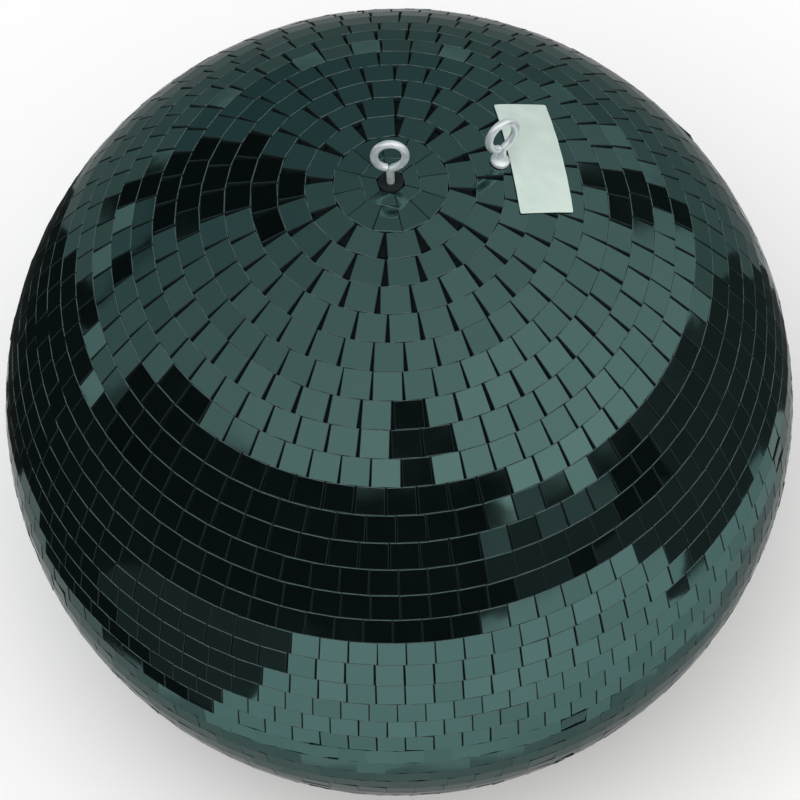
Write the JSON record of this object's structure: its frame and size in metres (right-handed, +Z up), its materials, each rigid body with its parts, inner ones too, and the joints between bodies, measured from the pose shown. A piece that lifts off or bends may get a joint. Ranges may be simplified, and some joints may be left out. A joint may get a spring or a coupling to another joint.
{
  "type": "mirror ball",
  "caption": "Black mirror ball: hollow core covered with rows of square mirror tiles, a hanging eye at the pole, a safety eye and a blank label.",
  "frame": {"origin": "inside the crown of the hanging eye's loop, where a hook bears; the ball hangs below", "axes": "+Z up along the eye's shank and the ball's axis; the picture's camera is on the -Y side"},
  "size_m": [0.3, 0.3, 0.3244],
  "materials": {
    "mirror_black": "dark teal-black mirror glass, polished, cut edges",
    "core_plastic": "moulded black plastic, matt",
    "zinc_steel": "bright zinc plate",
    "label_paper": "uncoated white paper, blank"
  },
  "bodies": {
    "hanger": {"hanging_eye": "zinc_steel", "thrust_washer": "zinc_steel", "hanger_nut": "zinc_steel", "hanger_lock_nut": "zinc_steel"},
    "ball": {"mirror_row_01": "mirror_black", "mirror_row_02": "mirror_black", "mirror_row_03": "mirror_black", "mirror_row_04": "mirror_black", "mirror_row_05": "mirror_black", "mirror_row_06": "mirror_black", "mirror_row_07": "mirror_black", "mirror_row_08": "mirror_black", "mirror_row_09": "mirror_black", "mirror_row_10": "mirror_black", "mirror_row_11": "mirror_black", "mirror_row_12": "mirror_black", "mirror_row_13": "mirror_black", "mirror_row_14": "mirror_black", "mirror_row_15": "mirror_black", "mirror_row_16": "mirror_black", "mirror_row_17": "mirror_black", "mirror_row_18": "mirror_black", "mirror_row_19": "mirror_black", "mirror_row_20": "mirror_black", "mirror_row_21": "mirror_black", "mirror_row_22": "mirror_black", "mirror_row_23": "mirror_black", "mirror_row_24": "mirror_black", "mirror_row_25": "mirror_black", "mirror_row_26": "mirror_black", "mirror_row_27": "mirror_black", "mirror_row_28": "mirror_black", "mirror_row_29": "mirror_black", "mirror_row_30": "mirror_black", "mirror_row_31": "mirror_black", "mirror_row_32": "mirror_black", "mirror_row_33": "mirror_black", "mirror_row_34": "mirror_black", "mirror_row_35": "mirror_black", "mirror_row_36": "mirror_black", "mirror_row_37": "mirror_black", "mirror_row_38": "mirror_black", "mirror_row_39": "mirror_black", "mirror_row_40": "mirror_black", "mirror_row_41": "mirror_black", "mirror_row_42": "mirror_black", "mirror_row_43": "mirror_black", "mirror_row_44": "mirror_black", "mirror_row_45": "mirror_black", "mirror_row_46": "mirror_black", "upper_shell": "core_plastic", "lower_shell": "core_plastic", "equator_band": "core_plastic", "hanger_plate": "zinc_steel", "pole_bush": "core_plastic", "safety_eye": "zinc_steel", "safety_foot": "zinc_steel", "safety_plate": "zinc_steel", "safety_nut": "zinc_steel", "safety_label": "label_paper"}
  },
  "joints": [
    {"name": "ball_spin", "type": "hinge", "parent": "hanger", "child": "ball", "pos_m": [0, 0, 0], "axis": [0, 0, 1], "continuous": true}
  ]
}
